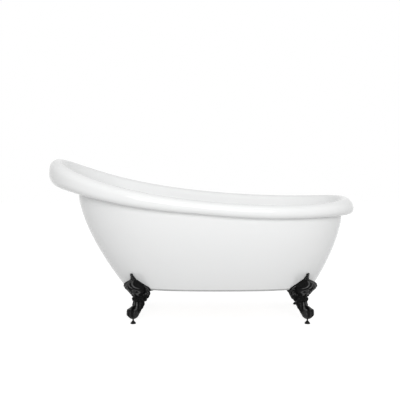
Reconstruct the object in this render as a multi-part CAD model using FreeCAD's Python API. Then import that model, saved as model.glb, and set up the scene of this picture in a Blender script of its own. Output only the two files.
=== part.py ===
import FreeCAD, Part
import math
import os

V = FreeCAD.Vector

# Clawfoot slipper bathtub, millimetres. Origin at the middle of the footprint on the floor,
# +Z up, X along the tub with the high head end at -X, and both sides alike about the XZ plane.
# An inset is measured inward from the tub's overall outline, unless its comment says otherwise.

# Overall form
tub_length = 1530.0
tub_width = 720.0
rim_squareness = 2.5
rim_head_height = 801.0
rim_head_quarter_height = 675.0
rim_middle_height = 617.0
rim_tail_quarter_height = 594.0
rim_tail_height = 611.0

# Acrylic sheets and the sealed seam between them
basin_sheet = 5.0
skirt_sheet = 5.0
skirt_tuck = 12.0
seam_gap = 3.0
seam_bead_height = 6.0
seam_bead_gap = 0.6

# Skirt: outline of its foot, and how it flares up to the seam under the rim
skirt_bottom_height = 165.0
skirt_head_inset = 365.0
skirt_tail_inset = 195.0
skirt_side_inset = 155.0
skirt_squareness = 2.8
skirt_flare = 1.55
skirt_flange = 80.0

# Basin: flat floor above the skirt's foot, round floor corner and sloping walls
floor_rise = 57.0
floor_corner = 80.0
floor_flat_margin = 12.0
basin_head_inset = 370.0
basin_tail_inset = 220.0
basin_side_inset = 195.0
basin_head_flare = 1.45
basin_side_flare = 1.2
basin_tail_flare = 1.4

# Base board under the floor, and the corner blocks that carry it
board_thickness = 12.0
board_bed = 2.0
board_skirt_gap = 22.0
board_hole_gap = 14.0
block_length = 92.0
block_depth = 60.0
block_skirt_gap = 1.5
bond_line = 0.2

# Feet: place of each leveller, inward from the skirt's foot, and the casting above it
foot_head_inset = 63.0
foot_tail_inset = 53.0
foot_side_inset = 25.0
foot_turn_deg = 45.0
ball_height = 53.0
ball_radius = 29.0
talon_radius = 6.0
talon_sink = 1.5
talon_turns_deg = [-42, 0, 42]
talon_knuckles_deg = [118, 72, 28, -18]
leg_foot_drop = 22.0
plate_thickness = 10.0
plate_gap = 0.6
plate_hang = 24.0
plate_toe_half_width = 37.0
plate_half_width = 62.0
plate_corner_half_width = 59.0
plate_corner_rise = 15.0
ear_half_width = 11.0
ear_shoulder_rise = 57.0
ear_rise = 87.0
shelf_thickness = 8.0
shelf_half_width = 46.0
shelf_reach = 104.0
shelf_depth = 68.0

# Foot bolts, M8
bolt_setback = 72.0
bolt_spread = 50.0
bolt_diameter = 8.0
bolt_clearance = 0.5
bolt_head_flats = 13.0
bolt_head_height = 5.3
bolt_end_gap = 1.0
washer_diameter = 16.0
washer_thickness = 1.6
washer_room = 1.0
tee_nut_diameter = 22.0
tee_nut_flange = 1.5
tee_nut_barrel = 9.6
tee_nut_length = 12.0

# Levellers, M8
spindle_diameter = 8.0
running_gap = 0.05
spindle_engagement = 44.0
spindle_socket = 7.0
retract_travel = 5.0
bore_end_gap = 2.0
pad_diameter = 27.0
pad_height = 13.0
pad_collar_wall = 1.5
pad_lip = 2.0
pad_dome_inset = 3.5
pad_dome_height = 8.0
glide_thickness = 3.0
glide_seat = 1.5

# Waste
waste_inset = 120.0
waste_flange_diameter = 70.0
waste_flange_thickness = 2.4
waste_barrel_diameter = 46.0
waste_barrel_length = 50.0
waste_bore_diameter = 38.0
waste_hole_gap = 0.6
waste_seal_diameter = 66.0
waste_seal_thickness = 3.0
waste_nut_flats = 62.0
waste_nut_height = 9.0
shoe_diameter = 56.0
shoe_neck = 12.0
shoe_sump = 27.0
port_wall = 3.0
port_length = 14.0
port_board_gap = 1.0
tail_diameter = 38.1
tail_wall = 1.5
tail_neck_step = 0.8
tail_free_length = 17.0
tail_nut_gap = 0.8
slip_nut_diameter = 54.0
slip_nut_height = 12.0
slip_nut_notches = 12
slip_nut_notch_radius = 3.0
slip_nut_notch_depth = 2.0

# Push stopper
stopper_diameter = 62.0
stopper_height = 6.0
stopper_edge_radius = 2.0
stopper_lift = 9.0
stem_diameter = 8.0
stem_tail = 8.0
stopper_seal_gap = 2.0
stopper_seal_thickness = 3.0
spider_drop = 26.0
spider_height = 6.0
spider_arm = 3.0
spider_boss_diameter = 16.0
spring_wire = 1.2
spring_turns = 6

# Overflow
overflow_rise = 258.0
overflow_plate_diameter = 72.0
overflow_plate_thickness = 5.0
overflow_plate_stand = 4.0
overflow_collar_inset = 3.0
overflow_collar_wall = 4.0
overflow_slot_radius = 4.0
overflow_slot_reach = 18.0
overflow_slot_turns_deg = [-40, 0, 40]
overflow_hole_diameter = 44.0
overflow_hole_lining = 2.0
overflow_seal_width = 8.0
overflow_seal_thickness = 2.5
cup_wall = 8.0
cup_depth = 22.0
cup_back = 3.0
cup_port_length = 26.0
screw_diameter = 6.0
screw_length = 33.0
screw_head_diameter = 11.0
screw_head_height = 2.5
screw_boss_wall = 3.0
screw_boss_recess = 2.0

# Overflow pipe
pipe_diameter = 28.0
pipe_wall = 2.0
pipe_insert = 4.0
pipe_turn_out = 4.0
pipe_cup_run = 52.0
pipe_cup_entry = 16.0
pipe_arc_share = 0.45
pipe_nut_wall = 1.9
pipe_nut_length = 14.0

# How finely the curved sheets are laid out
half_steps = 24
flare_levels = 10
floor_corner_turns_deg = [0, 15, 35, 55, 75]
wall_levels = [0.3, 0.45, 0.6, 0.75, 0.88]

# The rolled rim in section at the head, the sides and the tail. Each row is one line that runs
# round the tub: how far it lies inside the tub's outline, and how far below the rim's crest.
rim_lines = [
    {"head": (66, 34), "side": (64, 34), "tail": (68, 30)},
    {"head": (56, 13), "side": (55, 14), "tail": (60, 11)},
    {"head": (46, 3), "side": (46, 3), "tail": (52, 3)},
    {"head": (33, 0), "side": (33, 0), "tail": (40, 0)},
    {"head": (16, 9), "side": (14, 6), "tail": (22, 9)},
    {"head": (4, 28), "side": (3, 18), "tail": (7, 29)},
    {"head": (0, 58), "side": (0, 31), "tail": (0, 52)},
    {"head": (2, 90), "side": (2, 46), "tail": (3, 68)},
    {"head": (14, 115), "side": (9, 57), "tail": (13, 78)},
    {"head": (38, 135), "side": (20, 62), "tail": (28, 83)},
    {"head": (90, 158), "side": (33, 63), "tail": (42, 85)},
    {"head": (140, 176), "side": (46, 63), "tail": (55, 86)},
]
head_blend_share = 0.55
head_blend_long = 1.2
head_blend_short = 8.0
tail_blend = 8.0

# The leg in section from the ball up to the shelf: how far behind the leveller, how far up as a
# share of the way, and its radius.
leg_sections = [(6, 0.0, 18), (17, 0.228, 26), (31, 0.407, 26), (39, 0.569, 28), (46, 0.78, 36),
                (46, 0.943, 42), (46, 1.0, 44)]

# The knee that bulges from the plate, in section: how far behind the leveller, how far above the
# skirt's foot, and its radius.
knee_sections = [(34, -24, 34), (28, -8, 43), (20, 7, 50), (10, 24, 52), (10, 40, 42), (12, 52, 22)]

# Reaches from the middle of the tub, and heights above the floor, that follow from the sizes
outline_reach = {"head": tub_length / 2, "side": tub_width / 2, "tail": tub_length / 2}
skirt_foot = {"head": tub_length / 2 - skirt_head_inset, "side": tub_width / 2 - skirt_side_inset,
              "tail": tub_length / 2 - skirt_tail_inset}
basin_foot = {"head": tub_length / 2 - basin_head_inset, "side": tub_width / 2 - basin_side_inset,
              "tail": tub_length / 2 - basin_tail_inset}
basin_flare = {"head": basin_head_flare, "side": basin_side_flare, "tail": basin_tail_flare}
floor_height = skirt_bottom_height + floor_rise
floor_under = floor_height - basin_sheet
board_top = floor_under - board_bed
board_under = board_top - board_thickness
block_low = skirt_bottom_height + skirt_sheet + bond_line
block_top = board_under - bond_line
shelf_under = skirt_bottom_height - shelf_thickness
spindle_top = ball_height - ball_radius + spindle_engagement
waste_x = basin_foot["tail"] - waste_inset
pipe_level = board_under - port_board_gap - port_wall - pipe_diameter / 2
shoe_bottom = pipe_level - shoe_sump
overflow_height = floor_height + overflow_rise


def mirrored(shape):
    """The same shape on the far side of the tub."""
    return shape.mirror(V(0, 0, 0), V(0, 1, 0))


def both(shape):
    return [shape, mirrored(shape)]


def raised(points, rise):
    return [point + V(0, 0, rise) for point in points]


# ---- Lines round the tub ----

def plan_fraction(step, squareness):
    """Point of a unit superellipse: from the head end round the near side to the tail end."""
    angle = math.pi * (1 - step / half_steps)
    along = math.copysign(abs(math.cos(angle)) ** (2 / squareness), math.cos(angle))
    if step == half_steps / 2:
        along = 0.0
    across = max(0.0, math.sin(angle)) ** (2 / squareness)
    if step in (0, half_steps):
        across = 0.0
    return along, across


def ring(reach, squareness, height_at):
    """Near half of one line round the tub; height_at gives its height from -1, head, to 1, tail."""
    middle = (reach["tail"] - reach["head"]) / 2
    half_length = (reach["tail"] + reach["head"]) / 2
    points = []
    for step in range(half_steps + 1):
        along, across = plan_fraction(step, squareness)
        points.append(V(middle + half_length * along, -reach["side"] * across, height_at(along)))
    return points


def shifted(reach, distance):
    """A reach made larger all round by a distance."""
    return {end: value + distance for end, value in reach.items()}


def rim_height(along):
    """Height of the rim's crest: the smooth line through its five named heights."""
    heights = [rim_head_height, rim_head_quarter_height, rim_middle_height,
               rim_tail_quarter_height, rim_tail_height]
    stations = [-1.0, -0.5, 0.0, 0.5, 1.0]
    total = 0.0
    for station, height in zip(stations, heights):
        weight = 1.0
        for other in stations:
            if other != station:
                weight *= (along - other) / (station - other)
        total += weight * height
    return total


def rim_drop(line, along):
    """How far one rim line lies under the crest, blended from side to head and side to tail."""
    drop = line["side"][1]
    toward_head = max(0.0, -along)
    blend = head_blend_share * toward_head ** head_blend_long
    blend += (1 - head_blend_share) * toward_head ** head_blend_short
    drop += (line["head"][1] - line["side"][1]) * blend
    drop += (line["tail"][1] - line["side"][1]) * max(0.0, along) ** tail_blend
    return drop


def line_height(line, along):
    return rim_height(along) - rim_drop(line, along)


def line_reach(line):
    return {end: outline_reach[end] - line[end][0] for end in outline_reach}


def basin_reach(level):
    """Reach of the basin's wall, from 0 at the floor to 1 at the rim's inner line."""
    top = line_reach(rim_lines[0])
    return {end: foot + (top[end] - foot) * level ** basin_flare[end] for end, foot in basin_foot.items()}


def basin_rings():
    """The lines of the basin's wetted face: floor corner, wall, rim and the rim's underside."""
    flat = shifted(basin_foot, -floor_corner - floor_flat_margin)
    rings = [ring(flat, rim_squareness, lambda along: floor_height)]
    for degrees in floor_corner_turns_deg:
        turn = math.radians(degrees)
        height = floor_height + floor_corner * (1 - math.cos(turn))
        level = (height - floor_height) / (rim_middle_height - floor_height)
        reach = shifted(basin_reach(level), -floor_corner * (1 - math.sin(turn)))
        rings.append(ring(reach, rim_squareness, lambda along, height=height: height))
    for level in wall_levels:
        rings.append(ring(basin_reach(level), rim_squareness,
                          lambda along, level=level: floor_height
                          + level * (line_height(rim_lines[0], along) - floor_height)))
    for line in rim_lines:
        rings.append(ring(line_reach(line), rim_squareness,
                          lambda along, line=line: line_height(line, along)))
    return rings


def skirt_reach(level):
    """Reach of the skirt's outer face, from 0 at its foot to 1 at the seam under the rim."""
    flare = 1 - (1 - level) ** skirt_flare
    top = shifted(line_reach(rim_lines[-1]), -seam_gap)
    return {end: foot + (top[end] - foot) * flare for end, foot in skirt_foot.items()}


def skirt_ring(level, grow=0.0):
    squareness = skirt_squareness + (rim_squareness - skirt_squareness) * level
    return ring(shifted(skirt_reach(level), grow), squareness,
                lambda along: skirt_bottom_height
                + level * (line_height(rim_lines[-1], along) - skirt_bottom_height))


def skirt_rings(grow=0.0):
    """The lines of the skirt's outer face, grown by a clearance, from its foot to its tucked edge."""
    rings = [skirt_ring(k / flare_levels, grow) for k in range(flare_levels + 1)]
    return rings + [raised(rings[-1], skirt_tuck)]


# ---- Surfaces and solids through those lines ----

def across_plane(point):
    return V(point.x, -point.y, point.z)


def offset_rings(rings, distance):
    """The other face of a sheet: every point moved square to the sheet by its thickness."""
    moved = []
    for j, line in enumerate(rings):
        below = rings[max(j - 1, 0)]
        above = rings[min(j + 1, len(rings) - 1)]
        new_line = []
        for i, point in enumerate(line):
            before = line[i - 1] if i > 0 else across_plane(line[1])
            after = line[i + 1] if i < half_steps else across_plane(line[half_steps - 1])
            normal = (after - before).cross(above[i] - below[i])
            if i in (0, half_steps):
                normal.y = 0.0
            if j == 0:
                normal = V(0, 0, -1)
            if j == len(rings) - 1:
                normal = V(0, 0, 1)
            normal.normalize()
            new_line.append(point + normal * distance)
        moved.append(new_line)
    return moved


def half_face(rings):
    """Smooth surface through the near half of a stack of lines."""
    grid = [[line[i] for line in rings] for i in range(half_steps + 1)]
    surface = Part.BSplineSurface()
    surface.interpolate(grid)
    return surface


def end_edge(surface, last):
    first_u, last_u, first_v, last_v = surface.bounds()
    return surface.vIso(last_v if last else first_v).toShape()


def closed_solid(faces):
    shell = Part.Compound(faces)
    shell.sewShape()
    solid = Part.Solid(shell.Shells[0])
    if solid.Volume < 0:
        solid.reverse()
    return solid


def disc(surface):
    """Flat lid over the first, level line of a surface and its mirror image."""
    edge = end_edge(surface, False)
    return Part.Face(Part.Wire([edge, mirrored(edge)]))


def saddle(surface):
    """Lid that runs straight across the tub from the last line to its mirror image."""
    edge = end_edge(surface, True)
    return Part.makeRuledSurface(edge, mirrored(edge))


def line_edge(points):
    curve = Part.BSplineCurve()
    curve.interpolate(points)
    return curve.toShape()


def outline_face(points):
    """Level face inside one line and its mirror image."""
    edge = line_edge(points)
    return Part.Face(Part.Wire([edge, mirrored(edge)]))


def block_of(rings):
    """Solid inside a stack of lines whose lowest line is level."""
    side = half_face(rings)
    return closed_solid(both(side.toShape()) + [disc(side), saddle(side)])


def block_on_foot(rings, drop):
    """The same solid with its lowest line carried straight down."""
    side = half_face(rings)
    down = V(0, 0, -drop)
    foot = both(end_edge(side, False).extrude(down))
    lid = disc(side)
    lid.translate(down)
    return closed_solid(both(side.toShape()) + foot + [lid, saddle(side)])


def rod(diameter, low, high, x=0.0, y=0.0):
    """Upright round bar between two heights."""
    return Part.makeCylinder(diameter / 2, high - low, V(x, y, low))


def tube(outer, inner, low, high, x=0.0, y=0.0):
    """Upright ring or pipe between two heights."""
    return rod(outer, low, high, x, y).cut(rod(inner, low, high, x, y))


def hexagon(flats, height, base):
    """Upright hexagonal prism on a base point."""
    corner = flats / math.sqrt(3)
    points = []
    for k in range(7):
        angle = math.radians(60 * k)
        points.append(base + V(corner * math.cos(angle), corner * math.sin(angle), 0))
    return Part.Face(Part.makePolygon(points)).extrude(V(0, 0, height))


# ---- Shells ----

def basin():
    """Inner shell: one sheet from the floor, over the rim, to the seam, holed for its fittings."""
    rings = basin_rings()
    front = half_face(rings)
    back = half_face(offset_rings(rings, basin_sheet))
    faces = both(front.toShape()) + both(back.toShape()) + [disc(front), disc(back)]
    faces += both(Part.makeRuledSurface(end_edge(front, True), end_edge(back, True)))
    shell = closed_solid(faces)
    hole = rod(waste_barrel_diameter + 2 * waste_hole_gap, floor_under - basin_sheet,
               floor_height + basin_sheet, waste_x)
    dish = rod(waste_flange_diameter + 2 * waste_hole_gap, floor_height - waste_flange_thickness,
               floor_height, waste_x)
    return shell.cut(hole).cut(dish).cut(wall_rod(overflow_hole_diameter / 2, -basin_sheet, 3 * basin_sheet))


def skirt():
    """Outer shell: leaning wall with a level flange under the tub, open in the middle."""
    hollow_rings = skirt_rings(-skirt_sheet)
    hollow_rings[-1] = raised(hollow_rings[-1], skirt_tuck)
    flange_slab = Part.makeBox(tub_length, tub_width, skirt_sheet,
                               V(-tub_length / 2, -tub_width / 2, skirt_bottom_height))
    opening = ring(shifted(skirt_foot, -skirt_flange), skirt_squareness, lambda along: 0.0)
    shell = block_of(skirt_rings()).cut(block_of(hollow_rings).cut(flange_slab))
    return shell.cut(outline_face(opening).extrude(V(0, 0, floor_height)))


def seam_bead():
    """Bead of sealant that fills the gap between the rim's edge and the skirt."""
    inner = skirt_ring(1.0, seam_bead_gap)
    outer = skirt_ring(1.0, seam_gap - seam_bead_gap)
    lines = [inner, raised(inner, seam_bead_height), raised(outer, seam_bead_height), outer]
    edges = [line_edge(line) for line in lines]
    faces = []
    for k in range(4):
        faces += both(Part.makeRuledSurface(edges[k], edges[(k + 1) % 4]))
    return closed_solid(faces)


def base_board():
    """Board under the basin floor, cut away round the waste and over the overflow pipe."""
    outline = ring(shifted(skirt_foot, -board_skirt_gap), skirt_squareness, lambda along: board_under)
    board = outline_face(outline).extrude(V(0, 0, board_thickness))
    board = board.cut(rod(shoe_diameter + 2 * board_hole_gap, board_under, board_top, waste_x))
    slot_half = pipe_diameter / 2 + board_hole_gap
    return board.cut(Part.makeBox(skirt_foot["tail"] - waste_x, 2 * slot_half, board_thickness,
                                  V(waste_x, -slot_half, board_under)))


# ---- Feet: r is outward from the leveller, t to the side, z up ----

def foot_places():
    """Each near-side foot: its name and the placement whose local X points out of the corner."""
    places = {}
    for end, side_x, inset in (("head", -1, foot_head_inset), ("tail", 1, foot_tail_inset)):
        spot = V(side_x * (skirt_foot[end] - inset), foot_side_inset - skirt_foot["side"], 0)
        turn = FreeCAD.Rotation(V(0, 0, 1), 270 + side_x * (90 - foot_turn_deg))
        places[end] = FreeCAD.Placement(spot, turn)
    return places


def leg():
    """Curved leg from behind the ball up to the shelf, round in section."""
    low = ball_height - leg_foot_drop
    wires = []
    for setback, share, radius in leg_sections:
        centre = V(-setback, 0, low + share * (shelf_under - low))
        wires.append(Part.Wire([Part.makeCircle(radius, centre, V(0, 0, 1))]))
    return Part.makeLoft(wires, True, True)


def knee():
    """Rounded bulge of the casting above the leg."""
    wires = []
    for setback, rise, radius in knee_sections:
        centre = V(-setback, 0, skirt_bottom_height + rise)
        wires.append(Part.Wire([Part.makeCircle(radius, centre, V(0, 0, 1))]))
    return Part.makeLoft(wires, True, False)


def talon(turn_deg):
    """One claw: a bent finger of straight joints that grips the ball from above."""
    reach = ball_radius - talon_sink
    turn = math.radians(turn_deg)
    knuckles = []
    for knuckle_deg in talon_knuckles_deg:
        lift = math.radians(knuckle_deg)
        out = reach * math.cos(lift)
        knuckles.append(V(out * math.cos(turn), out * math.sin(turn), ball_height + reach * math.sin(lift)))
    finger = Part.makeSphere(talon_radius, knuckles[0])
    for here, there in zip(knuckles, knuckles[1:]):
        joint = Part.makeCylinder(talon_radius, (there - here).Length, here, there - here)
        finger = finger.fuse(joint).fuse(Part.makeSphere(talon_radius, there))
    return finger


def plate_prism():
    """Front view of the foot's plate with its pointed ear, extruded through the tub's corner."""
    heights = {"toe": -plate_hang, "foot": 0.0, "corner": plate_corner_rise,
               "shoulder": ear_shoulder_rise, "ear": ear_rise}
    corners = [(0, "ear"), (ear_half_width, "shoulder"), (plate_corner_half_width, "corner"),
               (plate_half_width, "foot"), (plate_toe_half_width, "toe")]
    points = [(t, skirt_bottom_height + heights[name]) for t, name in corners]
    points += [(-t, z) for t, z in reversed(points[1:])]
    wire = Part.makePolygon([V(-shelf_reach, t, z) for t, z in points + points[:1]])
    return Part.Face(wire).extrude(V(shelf_reach + 2 * ball_radius, 0, 0))


def tub_outside(grow):
    """Solid of the tub's outside, grown by a clearance and carried down past the foot plate."""
    rings = skirt_rings(grow)
    rings[0] = raised(rings[0], -grow)
    return block_on_foot(rings, plate_hang)


def bolt_places(frame):
    """Foot bolt positions in plan for one near-side foot."""
    return [frame.multVec(V(-bolt_setback, side * bolt_spread / 2, 0)) for side in (-1, 1)]


def foot_casting(frame, front_cut, back_cut):
    """Ornamental foot: ball, talons, leg, plate against the skirt and shelf under its flange."""
    shelf = Part.makeBox(shelf_depth, 2 * shelf_half_width, shelf_thickness,
                         V(-shelf_reach, -shelf_half_width, shelf_under))
    body = Part.makeSphere(ball_radius, V(0, 0, ball_height))
    for piece in [leg(), shelf] + [talon(turn) for turn in talon_turns_deg]:
        body = body.fuse(piece)
    body.Placement = frame.multiply(body.Placement)
    plate = plate_prism()
    swelling = plate.common(knee())
    plate.Placement = frame.multiply(plate.Placement)
    swelling.Placement = frame.multiply(swelling.Placement)
    body = body.fuse(plate.common(front_cut).cut(back_cut)).fuse(swelling.cut(back_cut))
    bore_top = spindle_top + retract_travel + bore_end_gap
    body = body.cut(rod(spindle_diameter + 2 * running_gap, 0, bore_top, frame.Base.x, frame.Base.y))
    for place in bolt_places(frame):
        body = body.cut(rod(bolt_diameter + 2 * bolt_clearance, ball_height, skirt_bottom_height,
                            place.x, place.y))
        body = body.cut(rod(washer_diameter + 2 * washer_room, ball_height, shelf_under,
                            place.x, place.y))
    return body.removeSplitter()


def foot_bolt(place):
    """Hex bolt, washer and tee nut that hold one foot, from below the shelf up."""
    head_top = shelf_under - washer_thickness
    head_low = head_top - bolt_head_height
    washer = tube(washer_diameter, bolt_diameter + 2 * bolt_clearance, head_top, shelf_under,
                  place.x, place.y)
    bolt = hexagon(bolt_head_flats, bolt_head_height, V(place.x, place.y, head_low))
    bolt = bolt.fuse(rod(bolt_diameter, head_low, block_top - bolt_end_gap, place.x, place.y))
    nut = tube(tee_nut_diameter, bolt_diameter, block_top - tee_nut_flange, block_top, place.x, place.y)
    barrel = tube(tee_nut_barrel, bolt_diameter, block_top - tee_nut_length, block_top, place.x, place.y)
    return bolt, washer, nut.fuse(barrel)


def corner_block(frame):
    """Hardwood block between the skirt's flange and the base board, bored for two foot bolts."""
    block = Part.makeBox(block_depth, block_length, block_top - block_low,
                         V(-bolt_setback - block_depth / 2, -block_length / 2, block_low))
    block.Placement = frame.multiply(block.Placement)
    block = block.common(block_of(skirt_rings(-skirt_sheet - block_skirt_gap)))
    for place in bolt_places(frame):
        block = block.cut(rod(tee_nut_barrel, block_low, block_top, place.x, place.y))
        block = block.cut(rod(tee_nut_diameter, block_top - tee_nut_flange, block_top,
                              place.x, place.y))
    return block


# ---- Levellers ----

def leveller(x, y):
    """Spindle, domed pad and glide of one leveller, standing on the floor."""
    socket_low = pad_height - spindle_socket
    spindle = rod(spindle_diameter, socket_low + running_gap, spindle_top, x, y)
    collar_radius = spindle_diameter / 2 + pad_collar_wall
    edge = pad_diameter / 2
    seat_low = glide_thickness - glide_seat
    corners = [V(0, 0, seat_low), V(edge - pad_lip, 0, seat_low), V(edge - pad_lip, 0, glide_thickness),
               V(edge, 0, glide_thickness)]
    lines = [Part.makeLine(here, there) for here, there in zip(corners, corners[1:])]
    top = V(collar_radius, 0, pad_height)
    dome = Part.Arc(corners[-1], V(edge - pad_dome_inset, 0, pad_dome_height), top).toShape()
    lines += [dome, Part.makeLine(top, V(0, 0, pad_height)), Part.makeLine(V(0, 0, pad_height), corners[0])]
    pad = Part.Face(Part.Wire(lines)).revolve(V(0, 0, 0), V(0, 0, 1), 360)
    pad.translate(V(x, y, 0))
    pad = pad.cut(rod(spindle_diameter + 2 * running_gap, socket_low, pad_height, x, y))
    glide = rod(pad_diameter, 0, glide_thickness, x, y)
    glide = glide.cut(rod(pad_diameter - 2 * pad_lip, seat_low, glide_thickness, x, y))
    return spindle, pad, glide


# ---- Waste ----

def waste_flange():
    """Flange in the floor's dish, with its barrel and the spider that guides the stem."""
    flange = tube(waste_flange_diameter, waste_bore_diameter, floor_height - waste_flange_thickness,
                  floor_height, waste_x)
    flange = flange.fuse(tube(waste_barrel_diameter, waste_bore_diameter,
                              floor_height - waste_barrel_length, floor_height, waste_x))
    spider_top = floor_height - spider_drop
    spider_low = spider_top - spider_height
    length = waste_bore_diameter + spider_arm
    for width, depth in ((length, spider_arm), (spider_arm, length)):
        flange = flange.fuse(Part.makeBox(width, depth, spider_height,
                                          V(waste_x - width / 2, -depth / 2, spider_low)))
    flange = flange.fuse(rod(spider_boss_diameter, spider_low, spider_top, waste_x))
    return flange.cut(rod(stem_diameter + 2 * running_gap, spider_low, spider_top, waste_x)).removeSplitter()


def waste_shoe(top):
    """Body under the nut: sump, neck for the tailpiece and port for the overflow pipe."""
    shoe = rod(shoe_diameter, shoe_bottom, top, waste_x)
    port_end = waste_x + shoe_diameter / 2 + port_length
    middle = V(waste_x, 0, pipe_level)
    outward = V(1, 0, 0)
    shoe = shoe.fuse(Part.makeCylinder(pipe_diameter / 2 + port_wall, port_end - waste_x, middle, outward))
    shoe = shoe.cut(rod(waste_barrel_diameter + 2 * bond_line, shoe_bottom + shoe_neck, top, waste_x))
    shoe = shoe.cut(rod(tail_diameter + 2 * bond_line, shoe_bottom, top, waste_x))
    shoe = shoe.cut(Part.makeCylinder(pipe_diameter / 2 + bond_line, port_end - waste_x, middle, outward))
    return shoe.removeSplitter()


def slip_nut(low):
    """Hand nut on the tailpiece, with a notched grip."""
    high = low + slip_nut_height
    nut = tube(slip_nut_diameter, tail_diameter + 2 * bond_line, low, high, waste_x)
    reach = slip_nut_diameter / 2 + slip_nut_notch_radius - slip_nut_notch_depth
    for k in range(slip_nut_notches):
        angle = 2 * math.pi * k / slip_nut_notches
        nut = nut.cut(rod(2 * slip_nut_notch_radius, low, high, waste_x + reach * math.cos(angle),
                          reach * math.sin(angle)))
    return nut


def tailpiece(nut_low):
    """Outlet tube: a full-size free end under the slip nut and a slightly thinner neck above it."""
    low = nut_low - tail_nut_gap - tail_free_length
    bore = tail_diameter - 2 * tail_wall
    end = tube(tail_diameter, bore, low, low + tail_free_length, waste_x)
    return end.fuse(tube(tail_diameter - tail_neck_step, bore, low, shoe_bottom + shoe_neck, waste_x))


def waste_set():
    """Flange, seal, back nut, shoe, tailpiece and slip nut."""
    seal_top = floor_under - bond_line
    seal_low = seal_top - waste_seal_thickness
    nut_low = seal_low - waste_nut_height
    slip_low = shoe_bottom - bond_line - slip_nut_height
    nut = hexagon(waste_nut_flats, waste_nut_height, V(waste_x, 0, nut_low))
    return {
        "waste_flange": waste_flange(),
        "waste_seal": tube(waste_seal_diameter, waste_barrel_diameter + waste_hole_gap, seal_low,
                           seal_top, waste_x),
        "waste_nut": nut.cut(rod(waste_barrel_diameter + 2 * bond_line, nut_low, seal_low, waste_x)),
        "waste_shoe": waste_shoe(nut_low - bond_line),
        "tailpiece": tailpiece(slip_low),
        "slip_nut": slip_nut(slip_low),
    }


def spring(low, high):
    """Coil spring that lifts the stopper, standing on the spider."""
    radius = stem_diameter / 2 + spring_wire
    height = high - low - spring_wire
    path = Part.makeHelix(height / spring_turns, height, radius)
    start = Part.Wire([Part.makeCircle(spring_wire / 2, V(radius, 0, 0), V(0, 1, 0))])
    coil = Part.Wire(path.Edges).makePipeShell([start], True, True)
    coil.translate(V(waste_x, 0, low + spring_wire / 2))
    return coil


def stopper_set():
    """Sprung push stopper at rest: cap raised off the flange, seal, stem and spring."""
    cap_low = floor_height + stopper_lift
    cap = rod(stopper_diameter, cap_low, cap_low + stopper_height, waste_x)
    cap = cap.makeFillet(stopper_edge_radius, [cap.Edges[0]])
    stem_top = cap_low + stopper_height / 2
    seal_low = cap_low - stopper_seal_thickness
    spider_top = floor_height - spider_drop
    stem_low = spider_top - spider_height - stopper_lift - stem_tail
    return {
        "stopper_cap": cap.cut(rod(stem_diameter, cap_low, stem_top, waste_x)),
        "stopper_stem": rod(stem_diameter, stem_low, stem_top, waste_x),
        "stopper_seal": tube(waste_bore_diameter - 2 * stopper_seal_gap, stem_diameter, seal_low,
                             cap_low, waste_x),
        "stopper_spring": spring(spider_top, seal_low),
    }


# ---- Overflow ----

def wall_place():
    """Point on the basin's tail wall at the overflow, and the wall's square direction outward."""
    wall_top = line_height(rim_lines[0], 1.0)
    level = (overflow_height - floor_height) / (wall_top - floor_height)
    step = 0.01
    rise = 2 * step * (wall_top - floor_height)
    slope = (basin_reach(level + step)["tail"] - basin_reach(level - step)["tail"]) / rise
    normal = V(1, 0, -slope)
    normal.normalize()
    return V(basin_reach(level)["tail"], 0, overflow_height), normal


def wall_rod(radius, start, depth):
    """Round bar square to the tail wall; start is measured outward from the wetted face."""
    point, normal = wall_place()
    return Part.makeCylinder(radius, depth, point + normal * start, normal)


def overflow_plate(shell):
    """Face plate on a collar that is fitted to the wall, with three inlet slots and a screw hole."""
    point, normal = wall_place()
    front = -overflow_plate_stand - overflow_plate_thickness
    plate = wall_rod(overflow_plate_diameter / 2, front, overflow_plate_thickness)
    plate = plate.makeFillet(overflow_plate_thickness / 2, [plate.Edges[2]])
    collar_radius = overflow_plate_diameter / 2 - overflow_collar_inset
    collar = wall_rod(collar_radius, -overflow_plate_stand, overflow_plate_stand)
    plate = plate.fuse(collar.cut(wall_rod(collar_radius - overflow_collar_wall, -overflow_plate_stand,
                                           overflow_plate_stand)))
    plate = plate.cut(wall_rod(screw_diameter / 2, front, overflow_plate_thickness))
    down_wall = V(normal.z, 0, -normal.x)
    for turn_deg in overflow_slot_turns_deg:
        slot = wall_rod(overflow_slot_radius, front, overflow_plate_thickness)
        slot.translate(down_wall * overflow_slot_reach)
        slot.rotate(point, normal, turn_deg)
        plate = plate.cut(slot)
    return plate.cut(shell)


def overflow_cup(start):
    """Cup behind the wall: water inlet, boss for the screw and a port for the pipe."""
    route = pipe_points()
    entry = route[-1]
    down = route[-2] - entry
    down.normalize()
    cup = wall_rod(overflow_hole_diameter / 2 + cup_wall - overflow_hole_lining, start, cup_depth)
    cup = cup.fuse(Part.makeCylinder(pipe_diameter / 2 + port_wall, cup_port_length, entry, down))
    cup = cup.cut(wall_rod(overflow_hole_diameter / 2 - overflow_hole_lining, start, cup_depth - cup_back))
    cup = cup.cut(Part.makeCylinder(pipe_diameter / 2 + bond_line, cup_port_length, entry, down))
    cup = cup.fuse(wall_rod(screw_diameter / 2 + screw_boss_wall, start + screw_boss_recess,
                            cup_depth - screw_boss_recess - cup_back / 2))
    return cup.cut(wall_rod(screw_diameter / 2 + bond_line, start, cup_depth - cup_back))


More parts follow.
